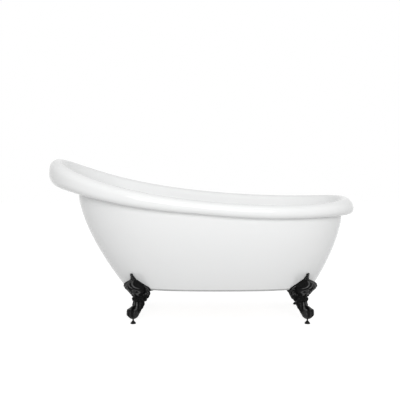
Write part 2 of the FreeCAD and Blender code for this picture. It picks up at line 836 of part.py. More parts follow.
def overflow_set(shell):
    """Face plate, screw, seal and cup, fitted to the basin's tail wall."""
    seal_start = basin_sheet + bond_line
    inner_radius = overflow_hole_diameter / 2 - overflow_hole_lining
    seal = wall_rod(overflow_hole_diameter / 2 + overflow_seal_width, seal_start, overflow_seal_thickness)
    seal = seal.cut(wall_rod(inner_radius, seal_start, overflow_seal_thickness))
    head_front = -overflow_plate_stand - overflow_plate_thickness - screw_head_height
    screw = wall_rod(screw_head_diameter / 2, head_front, screw_head_height)
    return {
        "overflow_plate": overflow_plate(shell),
        "overflow_screw": screw.fuse(wall_rod(screw_diameter / 2, head_front, screw_length)),
        "overflow_seal": seal.cut(shell),
        "overflow_cup": overflow_cup(seal_start + overflow_seal_thickness + bond_line),
    }


def cavity_middle(height):
    """Halfway between basin and skirt at the tail end, at a height."""
    basin_level = (height - floor_height) / (line_height(rim_lines[0], 1.0) - floor_height)
    skirt_level = (height - skirt_bottom_height) / (line_height(rim_lines[-1], 1.0) - skirt_bottom_height)
    inside = basin_reach(basin_level)["tail"] + basin_sheet
    outside = skirt_reach(skirt_level)["tail"] - skirt_sheet
    return (inside + outside) / 2


def pipe_points():
    """Route of the overflow pipe from the waste shoe, up the tail cavity, to the overflow cup."""
    point, normal = wall_place()
    cup_middle = point + normal * (basin_sheet + overflow_seal_thickness + cup_depth / 2)
    entry = V(cup_middle.x, 0, cup_middle.z - pipe_cup_entry)
    below = entry.z - pipe_cup_run
    start = V(waste_x + shoe_diameter / 2 - pipe_insert, 0, pipe_level)
    turn = V(basin_foot["tail"] + pipe_turn_out, 0, pipe_level)
    return [start, turn, V(cavity_middle(below), 0, below), entry]


def bent_path(points):
    """Straight runs joined by tangent arcs, each as large as its two runs allow."""
    edges = []
    here = points[0]
    for k in range(1, len(points) - 1):
        back = points[k - 1] - points[k]
        ahead = points[k + 1] - points[k]
        shorter = min(back.Length, ahead.Length) * pipe_arc_share
        back.normalize()
        ahead.normalize()
        first = points[k] + back * shorter
        last = points[k] + ahead * shorter
        half_turn = math.acos(-back.dot(ahead)) / 2
        radius = shorter / math.tan(half_turn)
        bisector = back + ahead
        bisector.normalize()
        centre = points[k] + bisector * (radius / math.cos(half_turn))
        edges.append(Part.makeLine(here, first))
        edges.append(Part.Arc(first, centre - bisector * radius, last).toShape())
        here = last
    edges.append(Part.makeLine(here, points[-1]))
    return Part.Wire(edges)


def overflow_pipe():
    """Pipe between overflow and waste, with the nut at the shoe."""
    route = pipe_points()
    path = bent_path(route)
    outward = V(1, 0, 0)
    bodies = []
    for radius in (pipe_diameter / 2, pipe_diameter / 2 - pipe_wall):
        circle = Part.Wire([Part.makeCircle(radius, route[0], outward)])
        bodies.append(path.makePipeShell([circle], True, False))
    nut_start = V(waste_x + shoe_diameter / 2 + port_length + bond_line, 0, pipe_level)
    nut = Part.makeCylinder(pipe_diameter / 2 + pipe_nut_wall, pipe_nut_length, nut_start, outward)
    nut = nut.cut(Part.makeCylinder(pipe_diameter / 2 + bond_line / 2, pipe_nut_length, nut_start, outward))
    return {"overflow_pipe": bodies[0].cut(bodies[1]), "overflow_pipe_nut": nut}


# ---- The whole tub ----

def build():
    """Every sub-part by name."""
    parts = {"basin": basin(), "skirt": skirt(), "seam_bead": seam_bead(), "base_board": base_board()}
    front_cut = tub_outside(plate_thickness)
    back_cut = tub_outside(plate_gap)
    fixings = {"foot_bolts": [], "foot_washers": [], "foot_tee_nuts": []}
    for end, frame in foot_places().items():
        spindle, pad, glide = leveller(frame.Base.x, frame.Base.y)
        pieces = {"foot": foot_casting(frame, front_cut, back_cut), "corner_block": corner_block(frame),
                  "leveller_spindle": spindle, "leveller_pad": pad, "leveller_glide": glide}
        for name, piece in pieces.items():
            parts[name + "_" + end + "_near"] = piece
            parts[name + "_" + end + "_far"] = mirrored(piece)
        for place in bolt_places(frame):
            for group, piece in zip(fixings.values(), foot_bolt(place)):
                group += both(piece)
            hole = rod(bolt_diameter + 2 * bolt_clearance, skirt_bottom_height, block_low,
                       place.x, place.y)
            parts["skirt"] = parts["skirt"].cut(hole).cut(mirrored(hole))
    for name, group in fixings.items():
        parts[name] = Part.Compound(group)
    parts.update(waste_set())
    parts.update(stopper_set())
    parts.update(overflow_set(parts["basin"]))
    parts.update(overflow_pipe())
    return parts


os.makedirs("parts", exist_ok=True)
for node, shape in build().items():
    shape.exportStep("parts/" + node + ".step")
    print(node, "solids", len(shape.Solids), "valid", shape.isValid(), "volume", round(shape.Volume))
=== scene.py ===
import math
import bmesh
import bpy
import numpy as np
from mathutils import Matrix, Vector
from mathutils import noise as noise_field


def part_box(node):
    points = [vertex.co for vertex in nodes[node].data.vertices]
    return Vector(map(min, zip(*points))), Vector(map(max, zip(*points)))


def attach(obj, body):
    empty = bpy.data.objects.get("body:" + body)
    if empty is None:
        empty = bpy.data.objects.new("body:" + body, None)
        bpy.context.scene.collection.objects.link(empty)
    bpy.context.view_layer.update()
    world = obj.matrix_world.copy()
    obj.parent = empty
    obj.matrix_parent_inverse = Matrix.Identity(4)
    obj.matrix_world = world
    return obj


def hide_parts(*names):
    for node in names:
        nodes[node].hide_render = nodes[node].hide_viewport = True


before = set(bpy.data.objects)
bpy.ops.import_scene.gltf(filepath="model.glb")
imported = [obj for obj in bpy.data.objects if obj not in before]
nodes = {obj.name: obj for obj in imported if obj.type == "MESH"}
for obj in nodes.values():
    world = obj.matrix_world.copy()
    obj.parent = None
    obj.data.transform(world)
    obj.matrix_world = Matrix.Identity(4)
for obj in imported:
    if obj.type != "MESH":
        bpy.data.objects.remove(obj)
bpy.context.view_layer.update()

scene = bpy.context.scene


# ---- Basin -----------------------------------------------------------------------------------
# One sheet of white acrylic, formed over a mould: flat floor, round corner, sloping walls, and a
# rim that rolls over and comes back under to the seam. It is high at the head and low at the tail.

class Signal:
    """One output socket of a node tree. Sums written on it add the Math nodes."""

    def __init__(self, tree, socket):
        self.tree = tree
        self.socket = socket

    def math(self, operation, *others):
        return node(self.tree, "ShaderNodeMath", {"operation": operation}, [self, *others])

    def __add__(self, other):
        return self.math("ADD", other)

    def __mul__(self, other):
        return self.math("MULTIPLY", other)

    def __sub__(self, other):
        return self.math("SUBTRACT", other)

    def __rsub__(self, other):
        return (self * -1.0).math("ADD", other)

    def __truediv__(self, other):
        return self.math("DIVIDE", other)

    def __rtruediv__(self, other):
        return (self ** -1.0) * other

    def __pow__(self, other):
        return self.math("POWER", other)

    def __abs__(self):
        return self.math("ABSOLUTE")

    __radd__ = __add__
    __rmul__ = __mul__


def node(tree, kind, settings=(), values=(), output=0):
    """Adds one node: its settings first, then the value or link of each socket, by name or place."""
    made = tree.nodes.new(kind)
    for name, value in dict(settings).items():
        if name == "stops":
            ramp = made.color_ramp
            for element, (place, colour) in zip([ramp.elements[0], ramp.elements[1]], value):
                element.position = place
                element.color = (*colour, 1.0)
            for place, colour in value[2:]:
                ramp.elements.new(place).color = (*colour, 1.0)
        else:
            setattr(made, name, value)
    pairs = values.items() if isinstance(values, dict) else enumerate(values)
    for name, value in pairs:
        if isinstance(value, Signal):
            tree.links.new(value.socket, made.inputs[name])
        else:
            made.inputs[name].default_value = value
    return Signal(tree, made.outputs[output])


def finish_of(name, constants):
    """New material: its tree, its shader and the piece's own coordinates."""
    material = bpy.data.materials.new(name)
    material.use_nodes = True
    tree = material.node_tree
    shader = tree.nodes["Principled BSDF"]
    for socket, value in constants.items():
        shader.inputs[socket].default_value = value
    place = node(tree, "ShaderNodeTexCoord", output="Object")
    return material, tree, shader, place


def noise(tree, place, scale, detail=2.0, roughness=0.5):
    return node(tree, "ShaderNodeTexNoise", {},
                {"Vector": place, "Scale": scale, "Detail": detail, "Roughness": roughness})


def tint(tree, share, low, high):
    """Colour between two colours."""
    return node(tree, "ShaderNodeMix", {"data_type": "RGBA"},
                {0: share, 6: (*low, 1.0), 7: (*high, 1.0)}, output=2)


def feed(tree, shader, **signals):
    for name, signal in signals.items():
        tree.links.new(signal.socket, shader.inputs[name.replace("_", " ")])


def bumped(tree, height, depth):
    """Normal from a height of 0 to 1 that stands for a depth in metres."""
    return node(tree, "ShaderNodeBump", {}, {"Height": height, "Distance": depth})


def acrylic_finish(name, shade_band_top=0.0):
    """Polished sanitary acrylic: nearly even white, with the faint ripple of a formed sheet.

    Below the given height the colour is a dull grey: painted shade along the skirt's shaded bottom edge.
    """
    edge_width = 0.001
    material, tree, shader, place = finish_of(
        name, {"IOR": 1.49, "Coat Roughness": 0.03, "Coat IOR": 1.5})
    cloud = noise(tree, place, 3.0)
    ripple = noise(tree, place, 14.0, 1.0)
    acrylic = tint(tree, cloud, (0.885, 0.893, 0.893), (0.905, 0.908, 0.906))
    height = node(tree, "ShaderNodeSeparateXYZ", {}, [place], output="Z")
    # Painted shade: under the band's top the colour turns dull grey, for the skirt's shaded bottom edge.
    above_shade_band_edge = (height - shade_band_top) * (1 / edge_width)
    above_painted_shade = above_shade_band_edge.math("MAXIMUM", 0.0).math("MINIMUM", 1.0)
    shade_band_mottle = noise(tree, place, 260.0, 4.0)
    painted_shade_grey = tint(tree, shade_band_mottle, (0.44, 0.45, 0.45), (0.56, 0.56, 0.555))
    feed(tree, shader,
         Base_Color=node(tree, "ShaderNodeMix", {"data_type": "RGBA"},
                         {0: above_painted_shade, 6: painted_shade_grey, 7: acrylic}, output=2),
         Roughness=0.6 - above_painted_shade * 0.5 + noise(tree, place, 9.0, 3.0) * 0.05,
         Coat_Weight=above_painted_shade * (0.35 + cloud * 0.1),
         Normal=bumped(tree, ripple, 0.0006))
    return material


tub_length = 1.530
tub_width = 0.720
rim_squareness = 2.5
rim_crest_stations = (-1.0, -0.5, 0.0, 0.5, 1.0)
rim_crest_heights = (0.801, 0.675, 0.617, 0.594, 0.611)
floor_height = 0.222
floor_corner = 0.080
floor_flat_inset = 0.092
basin_sheet = 0.005
basin_foot = {"head": 0.395, "side": 0.165, "tail": 0.545}
basin_flare = {"head": 1.45, "side": 1.2, "tail": 1.4}

# The rim in section: each row is a line round the tub, (inset, drop below the crest), millimetres.
rim_section = {
    "head": [(66, 34), (56, 13), (46, 3), (33, 0), (16, 9), (4, 28), (0, 58), (2, 90), (14, 115),
             (38, 135), (90, 158), (140, 176)],
    "side": [(64, 34), (55, 14), (46, 3), (33, 0), (14, 6), (3, 18), (0, 31), (2, 46), (9, 57),
             (20, 62), (33, 63), (46, 63)],
    "tail": [(68, 30), (60, 11), (52, 3), (40, 0), (22, 9), (7, 29), (0, 52), (3, 68), (13, 78),
             (28, 83), (42, 85), (55, 86)],
}
rim_lines = [{end: (row[k][0] / 1000, row[k][1] / 1000) for end, row in rim_section.items()}
             for k in range(len(rim_section["head"]))]
outer_reach = {"head": tub_length / 2, "side": tub_width / 2, "tail": tub_length / 2}
crest_terms = [float(term) for term in np.polyfit(rim_crest_stations, rim_crest_heights, 4)]


def signed_power(value, exponent):
    """Power that keeps the sign; the small number keeps nought at nought."""
    return value * (abs(value) + 1e-6) ** (exponent - 1)


def rim_crest(along):
    """Height of the rim's crest, from -1 at the head to 1 at the tail."""
    height = crest_terms[0]
    for term in crest_terms[1:]:
        height = along * height + term
    return height


def under_crest(line, along):
    """Height of one rim line: its drop is blended from the side to the head and to the tail."""
    to_head = (abs(along) - along) / 2
    to_tail = (abs(along) + along) / 2
    head_blend = to_head ** 1.2 * 0.55 + to_head ** 8.0 * 0.45
    drop = head_blend * (line["head"][1] - line["side"][1]) + line["side"][1]
    drop = drop + to_tail ** 8.0 * (line["tail"][1] - line["side"][1])
    return rim_crest(along) - drop


def plan_line(reach, along, across):
    """Plan of a line round the tub with that reach to head, side and tail."""
    middle = (reach["tail"] - reach["head"]) / 2
    half_length = (reach["tail"] + reach["head"]) / 2
    return along * half_length + middle, across * reach["side"]


columns = 300
turn = np.linspace(0, 2 * np.pi, columns, endpoint=False)


def line_points(reach, squareness, height_of):
    """Points of one line round the tub, anticlockwise from the tail."""
    along = signed_power(np.cos(turn), 2 / squareness)
    across = signed_power(np.sin(turn), 2 / squareness)
    x, y = plan_line(reach, along, across)
    return np.stack([x, y, height_of(along) + 0 * along], axis=1)


def wall_reach(level, inset=0.0):
    """Reach of the basin's wall, from 0 at the floor to 1 at the rim's inner line."""
    return {end: foot + (outer_reach[end] - rim_lines[0][end][0] - foot) * level ** basin_flare[end] - inset
            for end, foot in basin_foot.items()}


def smooth_rows(rows, spacing):
    """Rows laid closer together, on the smoothest curve through the given ones."""
    rows = np.array(rows)
    gaps = np.linalg.norm(np.diff(rows, axis=0), axis=2).mean(axis=1)
    knots = np.concatenate([[0.0], np.cumsum(gaps)])
    count = len(knots)
    system = np.eye(count)
    slopes = np.zeros_like(rows)
    for k in range(1, count - 1):
        system[k, k - 1:k + 2] = gaps[k - 1], 2 * (gaps[k - 1] + gaps[k]), gaps[k]
        slopes[k] = 6 * ((rows[k + 1] - rows[k]) / gaps[k] - (rows[k] - rows[k - 1]) / gaps[k - 1])
    bends = np.linalg.solve(system, slopes.reshape(count, -1)).reshape(rows.shape)
    fine = []
    for k, gap in enumerate(gaps):
        steps = max(2, round(gap / spacing))
        for step in range(steps):
            after = gap * step / steps
            before = gap - after
            fine.append((bends[k] * before ** 3 + bends[k + 1] * after ** 3) / (6 * gap)
                        + (rows[k] / gap - bends[k] * gap / 6) * before
                        + (rows[k + 1] / gap - bends[k + 1] * gap / 6) * after)
    fine.append(rows[-1])
    return np.array(fine)


def sheet_back(face, thickness):
    """The other side of a sheet: each point moved square to the sheet."""
    round_way = np.roll(face, -1, axis=1) - np.roll(face, 1, axis=1)
    up_way = np.gradient(face, axis=0)
    square = np.cross(round_way, up_way)
    square[0] = (0, 0, -1)
    square[-1] = (0, 0, 1)
    return face + thickness * square / np.linalg.norm(square, axis=2, keepdims=True)


def shown(name, data):
    """New object in the scene, for a mesh, a lamp or a camera."""
    made = bpy.data.objects.new(name, data)
    scene.collection.objects.link(made)
    return made


def mesh_piece(name, points, faces):
    """New object whose place is in its mesh."""
    mesh = bpy.data.meshes.new(name)
    mesh.from_pydata([tuple(map(float, point)) for point in points], [], faces)
    return shown(name, mesh)


def band_faces(rows, start=0):
    """Quads between rows of points that run round."""
    faces = []
    for row in range(rows - 1):
        for k in range(columns):
            right = (k + 1) % columns
            low = start + row * columns
            faces.append((low + k, low + right, low + columns + right, low + columns + k))
    return faces


weld_distance = 1e-6


def closed_up(piece, sharp_deg):
    """Doubles merged, faces turned outward, and edges sharper than an angle left sharp."""
    shape = bmesh.new()
    shape.from_mesh(piece.data)
    bmesh.ops.remove_doubles(shape, verts=shape.verts, dist=weld_distance)
    bmesh.ops.recalc_face_normals(shape, faces=shape.faces)
    for edge in shape.edges:
        edge.smooth = len(edge.link_faces) == 2 and edge.calc_face_angle() < math.radians(sharp_deg)
    for face in shape.faces:
        face.smooth = True
    shape.to_mesh(piece.data)
    shape.free()
    return piece


def made_plain(piece):
    """Keeps the plain mesh that a piece's modifiers make."""
    bpy.context.view_layer.update()
    evaluated = piece.evaluated_get(bpy.context.evaluated_depsgraph_get())
    shape = bpy.data.meshes.new_from_object(evaluated)
    piece.modifiers.clear()
    piece.data = shape
    return piece


def with_modifiers(piece, *steps):
    """Runs modifiers on a piece and keeps the plain mesh that they make."""
    for kind, settings in steps:
        modifier = piece.modifiers.new(kind, kind)
        for name, value in settings.items():
            setattr(modifier, name, value)
    return made_plain(piece)


def cylinder(name, radius, low, high, steps=64):
    """Round bar between two points."""
    shape = bmesh.new()
    axis = high - low
    bmesh.ops.create_cone(shape, cap_ends=True, segments=steps, radius1=radius, radius2=radius,
                          depth=axis.length)
    turned = Matrix.Translation((low + high) / 2) @ axis.to_track_quat("Z", "Y").to_matrix().to_4x4()
    bmesh.ops.transform(shape, matrix=turned, verts=shape.verts)
    mesh = bpy.data.meshes.new(name)
    shape.to_mesh(mesh)
    shape.free()
    return shown(name, mesh)


def dress(piece, material, body, slot, *replaced):
    """Gives a piece its finish and its body, and hides the solids that it stands for. The slot is not used.
    """
    piece.data.materials.clear()
    piece.data.materials.append(material)
    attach(piece, body)
    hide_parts(*replaced)


rows = [line_points(wall_reach(0, floor_flat_inset), rim_squareness, lambda along: floor_height)]
for lift_deg in (0, 15, 35, 55, 75):
    lift = math.radians(lift_deg)
    height = floor_height + floor_corner * (1 - math.cos(lift))
    level = (height - floor_height) / (rim_crest(0.0) - floor_height)
    reach = wall_reach(level, floor_corner * (1 - math.sin(lift)))
    rows.append(line_points(reach, rim_squareness, lambda along, height=height: height))
for level in (0.3, 0.45, 0.6, 0.75, 0.88):
    rows.append(line_points(wall_reach(level), rim_squareness,
                            lambda along, level=level: floor_height
                            + (under_crest(rim_lines[0], along) - floor_height) * level))
for line in rim_lines:
    reach = {end: outer_reach[end] - line[end][0] for end in outer_reach}
    rows.append(line_points(reach, rim_squareness, lambda along, line=line: under_crest(line, along)))
row_spacing = 0.007
wetted = smooth_rows(rows, row_spacing)
wetted[..., 0] = np.clip(wetted[..., 0], -tub_length / 2, tub_length / 2)
hidden = sheet_back(wetted, basin_sheet)
count = len(wetted)
last_front = (count - 1) * columns
last_back = (2 * count - 1) * columns
faces = band_faces(count) + band_faces(count, count * columns)
faces += [(last_front + k, last_front + (k + 1) % columns, last_back + (k + 1) % columns, last_back + k)
          for k in range(columns)]
faces += [tuple(range(columns)), tuple(range(count * columns, (count + 1) * columns))]
basin = mesh_piece("basin_shell", np.concatenate([wetted, hidden]).reshape(-1, 3), faces)
closed_up(basin, 40)

waste_x = 0.425
waste_flange_radius = 0.035
waste_flange_thickness = 0.0024
waste_barrel_radius = 0.023
fitting_gap = 0.0006
overflow_height = 0.480
overflow_hole_radius = 0.022
tail_wall = [row[0] for row in wetted if row[0][2] < under_crest(rim_lines[0], 1.0)]
overflow_x = float(np.interp(overflow_height, [p[2] for p in tail_wall], [p[0] for p in tail_wall]))
above_x = float(np.interp(overflow_height + 0.01, [p[2] for p in tail_wall], [p[0] for p in tail_wall]))
overflow_point = Vector((overflow_x, 0, overflow_height))
overflow_normal = Vector((0.01, 0, overflow_x - above_x)).normalized()
floor_point = Vector((waste_x, 0, floor_height))
cutters = [
    cylinder("waste_dish", waste_flange_radius + fitting_gap,
             floor_point - Vector((0, 0, waste_flange_thickness)), floor_point + Vector((0, 0, 0.02))),
    cylinder("waste_hole", waste_barrel_radius + fitting_gap,
             floor_point - Vector((0, 0, 0.02)), floor_point + Vector((0, 0, 0.02))),
    cylinder("overflow_hole", overflow_hole_radius,
             overflow_point - overflow_normal * 0.02, overflow_point + overflow_normal * 0.02),
]
with_modifiers(basin, *[("BOOLEAN", {"operation": "DIFFERENCE", "solver": "EXACT", "object": cutter})
                        for cutter in cutters])
for cutter in cutters:
    bpy.data.objects.remove(cutter)
closed_up(basin, 40)
dress(basin, acrylic_finish("basin_acrylic"), "tub", "white_acrylic", "basin")


# ---- Skirt -----------------------------------------------------------------------------------
# The outer shell, a second acrylic sheet round the basin. It stands on a level flange that the
# feet are bolted to, leans out to the seam under the rim, and is tucked up behind it.

def geometry_tree(name, sizes):
    """New geometry node tree with its sizes as named inputs; returns the tree and the inputs."""
    tree = bpy.data.node_groups.new(name, "GeometryNodeTree")
    for size, value in sizes.items():
        kind = "NodeSocketInt" if isinstance(value, int) else "NodeSocketFloat"
        tree.interface.new_socket(size, in_out="INPUT", socket_type=kind)
    tree.interface.new_socket("Geometry", in_out="OUTPUT", socket_type="NodeSocketGeometry")
    start = tree.nodes.new("NodeGroupInput")
    return tree, {size: Signal(tree, start.outputs[size]) for size in sizes}


def grown(name, tree, geometry, sizes, material):
    """Ends a tree in Realize Instances and Set Material, runs it and keeps the plain mesh."""
    realized = node(tree, "GeometryNodeRealizeInstances", {}, {"Geometry": geometry})
    finished = node(tree, "GeometryNodeSetMaterial", {}, {"Geometry": realized, "Material": material})
    end = tree.nodes.new("NodeGroupOutput")
    tree.links.new(finished.socket, end.inputs["Geometry"])
    piece = mesh_piece(name, [], [])
    modifier = piece.modifiers.new(name, "NODES")
    modifier.node_group = tree
    for item in tree.interface.items_tree:
        if item.in_out == "INPUT":
            modifier[item.identifier] = sizes[item.name]
    return made_plain(piece)


seam_gap = 0.003
seam = rim_lines[-1]
skirt_foot_height = 0.165
skirt_sizes = {
    "Round Steps": 361, "Up Steps": 97, "Foot Height": skirt_foot_height, "Foot Head": 0.400,
    "Foot Tail": 0.570, "Foot Side": 0.205,
    "Seam Head": outer_reach["head"] - seam["head"][0] - seam_gap,
    "Seam Tail": outer_reach["tail"] - seam["tail"][0] - seam_gap,
    "Seam Side": outer_reach["side"] - seam["side"][0] - seam_gap, "Foot Squareness": 2.8,
    "Seam Squareness": rim_squareness, "Flare": 1.55, "Flange": 0.080, "Flange Share": 0.12,
    "Tuck": 0.012,
}
skirt_sheet = 0.005
tuck_share = 0.02
# Height of the painted shade band, dull grey, along the skirt's bottom edge.
shade_band_height = 0.0085
grid_weld_distance = 1e-5
flange_reach = 0.0005


def skirt_tree():
    """A grid bent round the tub: first the flange, from its inner edge out, then the wall."""
    tree, size = geometry_tree("skirt_form", skirt_sizes)
    grid = node(tree, "GeometryNodeMeshGrid", {},
                {"Vertices X": size["Round Steps"], "Vertices Y": size["Up Steps"]})
    spread = node(tree, "ShaderNodeSeparateXYZ", {}, {0: Signal(tree, grid.socket.node.outputs["UV Map"])})
    round_share = spread
    up_share = Signal(tree, spread.socket.node.outputs["Y"])
    on_wall = (up_share - size["Flange Share"]) / (1 - size["Flange Share"])
    wall_share = on_wall.math("MAXIMUM", 0.0) * (1 + tuck_share)
    level = wall_share.math("MINIMUM", 1.0)
    tucked = (wall_share - 1).math("MAXIMUM", 0.0) * (1 / tuck_share) * size["Tuck"]
    inset = (1 - up_share / size["Flange Share"]).math("MAXIMUM", 0.0) * size["Flange"]
    flare = 1 - (1 - level) ** size["Flare"]
    squareness = size["Foot Squareness"] + (size["Seam Squareness"] - size["Foot Squareness"]) * level
    angle = round_share * (2 * math.pi)
    along = signed_power(angle.math("COSINE"), 2 / squareness)
    across = signed_power(angle.math("SINE"), 2 / squareness)
    reach = {end.lower(): size["Foot " + end] + (size["Seam " + end] - size["Foot " + end]) * flare - inset
             for end in ("Head", "Side", "Tail")}
    x, y = plan_line(reach, along, across)
    z = size["Foot Height"] + (under_crest(seam, along) - size["Foot Height"]) * level + tucked
    position = node(tree, "ShaderNodeCombineXYZ", {}, [x, y, z])
    bent = node(tree, "GeometryNodeSetPosition", {}, {"Geometry": grid, "Position": position})
    joined = node(tree, "GeometryNodeMergeByDistance", {},
                  {"Geometry": bent, "Distance": grid_weld_distance})
    return tree, joined


tree, form = skirt_tree()
skirt_acrylic = acrylic_finish("skirt_acrylic", skirt_foot_height + shade_band_height)
skirt = grown("skirt_shell", tree, form, skirt_sizes, skirt_acrylic)
shape = bmesh.new()
shape.from_mesh(skirt.data)
bmesh.ops.remove_doubles(shape, verts=shape.verts, dist=grid_weld_distance)
bmesh.ops.recalc_face_normals(shape, faces=shape.faces)
flange = [face for face in shape.faces
          if face.calc_center_median().z < skirt_foot_height + flange_reach]
if sum(face.normal.z * face.calc_area() for face in flange) > 0:
    bmesh.ops.reverse_faces(shape, faces=shape.faces)
shape.to_mesh(skirt.data)
shape.free()
with_modifiers(skirt, ("SOLIDIFY", {"thickness": skirt_sheet, "offset": -1.0, "use_even_offset": True}),
               ("BEVEL", {"width": 0.003, "segments": 3, "limit_method": "ANGLE",
                          "angle_limit": math.radians(50)}))
closed_up(skirt, 40)
dress(skirt, skirt_acrylic, "tub", "white_acrylic", "skirt")


# ---- Seam bead -------------------------------------------------------------------------------
# Sanitary sealant run into the gap between the rim's turned-in edge and the skirt, all round.

def sealant_finish():
    """Cured silicone: pale grey, satin, with small swellings along the bead."""
    material, tree, shader, place = finish_of("grey_sealant", {"IOR": 1.41})
    swelling = noise(tree, place, 40.0, 3.0)
    feed(tree, shader,
         Base_Color=tint(tree, swelling, (0.50, 0.51, 0.51), (0.60, 0.61, 0.61)),
         Roughness=0.4 + swelling * 0.15,
         Normal=bumped(tree, swelling, 0.0004))
    return material


bead_sizes = {"Points": 600, "Radius": 0.0013, "Lift": 0.0025, "Reach Out": seam_gap / 2,
              "Seam Head": skirt_sizes["Seam Head"], "Seam Tail": skirt_sizes["Seam Tail"],
              "Seam Side": skirt_sizes["Seam Side"]}


def bead_tree():
    """A round bead swept along the seam."""
    tree, size = geometry_tree("bead_form", bead_sizes)
    loop = node(tree, "GeometryNodeMeshCircle", {}, {"Vertices": size["Points"]})
    angle = node(tree, "GeometryNodeInputIndex") * (2 * math.pi) / size["Points"]
    along = signed_power(angle.math("COSINE"), 2 / rim_squareness)
    across = signed_power(angle.math("SINE"), 2 / rim_squareness)
    reach = {end.lower(): size["Seam " + end] + size["Reach Out"] for end in ("Head", "Side", "Tail")}
    x, y = plan_line(reach, along, across)
    position = node(tree, "ShaderNodeCombineXYZ", {}, [x, y, under_crest(seam, along) + size["Lift"]])
    bent = node(tree, "GeometryNodeSetPosition", {}, {"Geometry": loop, "Position": position})
    path = node(tree, "GeometryNodeMeshToCurve", {}, {"Mesh": bent})
    section = node(tree, "GeometryNodeCurvePrimitiveCircle", {"mode": "RADIUS"},
                   {"Resolution": 12, "Radius": size["Radius"]})
    return tree, node(tree, "GeometryNodeCurveToMesh", {}, {"Curve": path, "Profile Curve": section})


tree, form = bead_tree()
sealant = sealant_finish()
bead = grown("sealant_bead", tree, form, bead_sizes, sealant)
closed_up(bead, 60)
dress(bead, sealant, "tub", "sealant", "seam_bead")


# ---- Claw feet -------------------------------------------------------------------------------
# Four iron castings in black enamel, bolted under the skirt's corners: a plate with a leaf ear
# that lies against the skirt, a fluted leg with scalloped collars, and claws over a hammered ball.

def enamelled_iron():
    """Black satin enamel over cast iron, with painted shade in the carving's hollows and a painted
    highlight on its ridges, varied in patches.
    """
    material, tree, shader, place = finish_of(
        "black_enamelled_iron", {"IOR": 1.5, "Specular IOR Level": 0.06, "Coat Roughness": 0.16})
    carving = node(tree, "ShaderNodeAttribute", {"attribute_name": "relief"}, output="Fac")
    casting_skin = noise(tree, place, 700.0, 3.0)
    wear_and_sheen_patches = noise(tree, place, 45.0, 4.0)
    # Painted highlight and painted shade: colour and coat go from near black in the carving's hollows to
    # brighter on its ridges, in patches.
    painted_light_on_carving = (carving ** 2.2 * (0.55 + wear_and_sheen_patches * 0.7)).math("MINIMUM", 1.0)
    feed(tree, shader,
         Base_Color=tint(tree, painted_light_on_carving, (0.0008, 0.0008, 0.0010), (0.060, 0.060, 0.061)),
         Roughness=0.5 - carving * 0.15 + wear_and_sheen_patches * 0.1,
         Coat_Weight=painted_light_on_carving * 0.8,
         Normal=bumped(tree, casting_skin, 0.00018))
    return material


ball_height = 0.053
ball_radius = 0.029
talon_sink = 0.003
foot_turn_deg = {"head": 225, "tail": 315}
talon_turns_deg = (-42, 0, 42)
talon_beads = [(118, 0.0095), (98, 0.0092), (79, 0.0084), (62, 0.0070), (47, 0.0072), (30, 0.0082),
               (14, 0.0070), (-2, 0.0064), (-15, 0.0058), (-26, 0.0050), (-36, 0.0041), (-45, 0.0032),
               (-53, 0.0024)]
collar_turns_deg = (-112, -80, -48, -16, 16, 48, 80, 112)
collars = [(0.116, -0.043, 0.0300, 0.0100), (0.140, -0.044, 0.0370, 0.0085)]
corner_bosses = [(-0.0540, 0.0470, 0.1490, 0.0140), (-0.0540, 0.0400, 0.1360, 0.0140)]
leg_cheeks = [(-0.0300, 0.0150, 0.084, 0.0190), (-0.0360, 0.0190, 0.096, 0.0180),
              (-0.0200, 0.0150, 0.068, 0.0150)]
leaf_tip_radius = 0.0070
carving_depth = 0.0034
carving_grain = 0.00115


def foot_place(end):
    """Place of a near foot: its own X points out of the tub's corner and Z up its leveller."""
    low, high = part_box("leveller_pad_" + end + "_near")
    middle = (low + high) / 2
    turned = Matrix.Rotation(math.radians(foot_turn_deg[end]), 4, "Z")
    return Matrix.Translation((middle.x, middle.y, 0)) @ turned


def foot_lobes(leaf_tip):
    """Leaf tip, claws, corner bosses, leg cheeks and collars, as (place, radius) in the foot's axes."""
    lobes = [(tuple(leaf_tip), leaf_tip_radius)]
    for turn_deg in talon_turns_deg:
        for lift_deg, radius in talon_beads:
            lift = math.radians(lift_deg)
            side = math.radians(turn_deg)
            out = (ball_radius - talon_sink) * math.cos(lift)
            lobes.append(((out * math.cos(side), out * math.sin(side),
                           ball_height + (ball_radius - talon_sink) * math.sin(lift)), radius))
    for out, side, height, radius in corner_bosses + leg_cheeks:
        lobes += [((out, side, height), radius), ((out, -side, height), radius)]
    for height, setback, reach, radius in collars:
        for turn_deg in collar_turns_deg:
            side = math.radians(turn_deg)
            lobes.append(((setback + reach * math.cos(side), reach * math.sin(side), height), radius))
    return lobes


def fade(value, low, high, soft):
    """1 between two values, falling smoothly to 0 outside them."""
    rise = np.clip((value - low) / soft, 0, 1)
    fall = np.clip((high - value) / soft, 0, 1)
    return rise * rise * (3 - 2 * rise) * fall * fall * (3 - 2 * fall)


def ridges(value, period):
    return 0.5 + 0.5 * np.cos(2 * np.pi * value / period)


